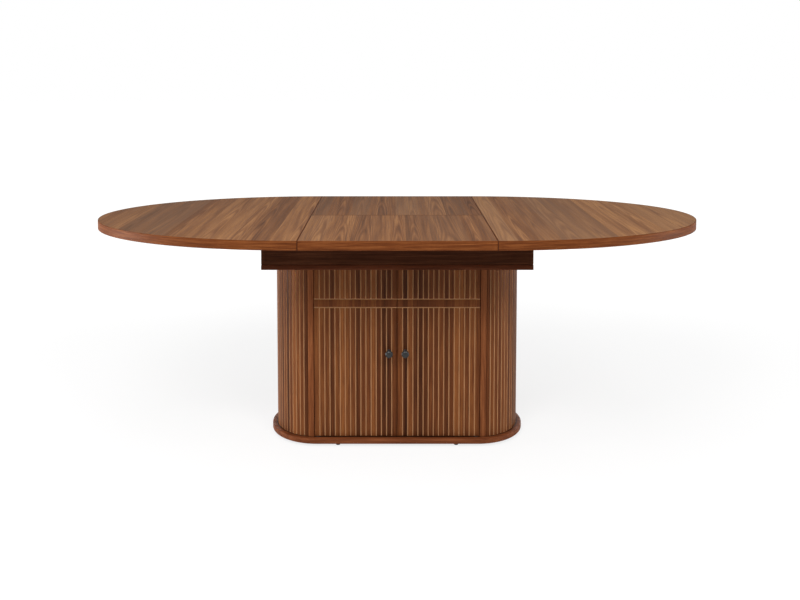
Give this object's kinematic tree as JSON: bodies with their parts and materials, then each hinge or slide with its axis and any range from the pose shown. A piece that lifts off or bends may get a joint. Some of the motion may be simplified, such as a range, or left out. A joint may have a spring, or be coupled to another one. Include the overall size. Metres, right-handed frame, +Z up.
{
  "type": "butterfly leaf table",
  "caption": "Oval extending dining table with a self-storing butterfly leaf, dark apron tray and a fluted cabinet pedestal with round ends and double doors.",
  "frame": {"origin": "on the floor, under the middle of the table", "axes": "+X along the length of the top, -Y towards the door side, +Z up"},
  "size_m": [2.1, 0.9, 0.77],
  "materials": {
    "top_veneer": "satin walnut-tone veneer, grain running front to back in joined planks",
    "edge_band": "satin wood edge band with grain along the edge",
    "apron_wood": "satin very dark brown stained board",
    "fluted_wood": "satin walnut-tone fluted face with paler V grooves",
    "plinth_wood": "satin walnut-tone board",
    "inner_board": "plain laminated board",
    "black_metal": "satin black",
    "hinge_brass": "dull aged brass",
    "carrier_steel": "black powder coat",
    "rail_aluminium": "satin extruded",
    "bright_steel": "zinc plated",
    "black_plastic": "moulded matte black",
    "white_nylon": "natural nylon",
    "grey_rubber": "moulded rubber"
  },
  "bodies": {
    "pedestal_frame": {"plinth": "plinth_wood", "feet": "black_plastic", "right_side_panel": "fluted_wood", "left_side_panel": "fluted_wood", "right_fluted_end": "fluted_wood", "left_fluted_end": "fluted_wood", "end_formers": "inner_board", "fluted_back": "fluted_wood", "shelf": "inner_board", "shelf_pins": "bright_steel", "frame_screws": "bright_steel", "door_bushes": "black_plastic", "magnetic_catches": "black_plastic", "tray_floor": "apron_wood", "apron_front": "apron_wood", "apron_back": "apron_wood", "apron_right": "apron_wood", "apron_left": "apron_wood", "corner_blocks": "inner_board", "glide_strips": "white_nylon", "leaf_bumpers": "grey_rubber", "fixed_rails": "rail_aluminium", "arm_brackets": "carrier_steel", "arm_studs": "carrier_steel"},
    "lifting_arms": {"lifting_arms": "carrier_steel", "arm_cross_tube": "carrier_steel"},
    "guide_arms": {"guide_arms": "carrier_steel"},
    "leaf_front": {"leaf_front_panel": "top_veneer", "leaf_front_edge_band": "edge_band", "fold_hinge_front_plates": "hinge_brass", "leaf_brackets": "carrier_steel", "leaf_bracket_screws": "bright_steel", "leaf_studs": "carrier_steel"},
    "fold_links": {"fold_hinge_links": "hinge_brass"},
    "leaf_back": {"leaf_back_panel": "top_veneer", "leaf_back_edge_band": "edge_band", "fold_hinge_back_plates": "hinge_brass", "fold_hinge_pins": "hinge_brass"},
    "left_top": {"left_top_panel": "top_veneer", "left_edge_band": "edge_band", "left_runners": "rail_aluminium", "left_leaf_supports": "carrier_steel", "left_top_screws": "bright_steel"},
    "left_middle": {"left_middle_rails": "rail_aluminium"},
    "right_top": {"right_top_panel": "top_veneer", "right_edge_band": "edge_band", "right_runners": "rail_aluminium", "right_leaf_supports": "carrier_steel", "right_top_screws": "bright_steel"},
    "right_middle": {"right_middle_rails": "rail_aluminium"},
    "left_door": {"left_door_panel": "fluted_wood", "left_door_pins": "bright_steel", "left_knob": "black_metal", "left_knob_screw": "bright_steel", "left_strike_plate": "bright_steel"},
    "right_door": {"right_door_panel": "fluted_wood", "right_door_pins": "bright_steel", "right_knob": "black_metal", "right_knob_screw": "bright_steel", "right_strike_plate": "bright_steel"}
  },
  "joints": [
    {"name": "left_top_slide", "type": "slide", "parent": "pedestal_frame", "child": "left_top", "axis": [-1, 0, 0], "range_m": [0, 0.03]},
    {"name": "left_middle_slide", "type": "slide", "parent": "pedestal_frame", "child": "left_middle", "axis": [-1, 0, 0], "range_m": [0, 0.015]},
    {"name": "right_top_slide", "type": "slide", "parent": "pedestal_frame", "child": "right_top", "axis": [1, 0, 0], "range_m": [0, 0.03]},
    {"name": "right_middle_slide", "type": "slide", "parent": "pedestal_frame", "child": "right_middle", "axis": [1, 0, 0], "range_m": [0, 0.015]},
    {"name": "leaf_swing", "type": "hinge", "parent": "pedestal_frame", "child": "lifting_arms", "pos_m": [0, 0, 0.667], "axis": [-1, 0, 0], "range_deg": [0, 152.27]},
    {"name": "guide_swing", "type": "hinge", "parent": "pedestal_frame", "child": "guide_arms", "pos_m": [0, 0.06, 0.667], "axis": [-1, 0, 0], "range_deg": [0, 152.27]},
    {"name": "leaf_level", "type": "hinge", "parent": "lifting_arms", "child": "leaf_front", "pos_m": [0, -0.10948, 0.7285], "axis": [1, 0, 0], "range_deg": [0, 152.27]},
    {"name": "fold_link_turn", "type": "hinge", "parent": "leaf_front", "child": "fold_links", "pos_m": [0, -0.0035, 0.767], "axis": [1, 0, 0], "range_deg": [0, 90]},
    {"name": "leaf_fold", "type": "hinge", "parent": "leaf_front", "child": "leaf_back", "pos_m": [0, 0, 0.7705], "axis": [1, 0, 0], "range_deg": [0, 180]},
    {"name": "left_door_hinge", "type": "hinge", "parent": "pedestal_frame", "child": "left_door", "pos_m": [-0.271, -0.1455, 0.3325], "axis": [0, 0, -1], "range_deg": [0, 105]},
    {"name": "right_door_hinge", "type": "hinge", "parent": "pedestal_frame", "child": "right_door", "pos_m": [0.271, -0.1455, 0.3325], "axis": [0, 0, 1], "range_deg": [0, 105]}
  ],
  "couplings": [
    {"joint": "left_middle_slide", "follows": "left_top_slide", "ratio": 0.5},
    {"joint": "right_middle_slide", "follows": "right_top_slide", "ratio": 0.5},
    {"joint": "guide_swing", "follows": "leaf_swing", "ratio": 1},
    {"joint": "leaf_level", "follows": "leaf_swing", "ratio": 1},
    {"joint": "fold_link_turn", "follows": "leaf_swing", "ratio": 0.59105},
    {"joint": "leaf_fold", "follows": "leaf_swing", "ratio": 1.1821}
  ]
}
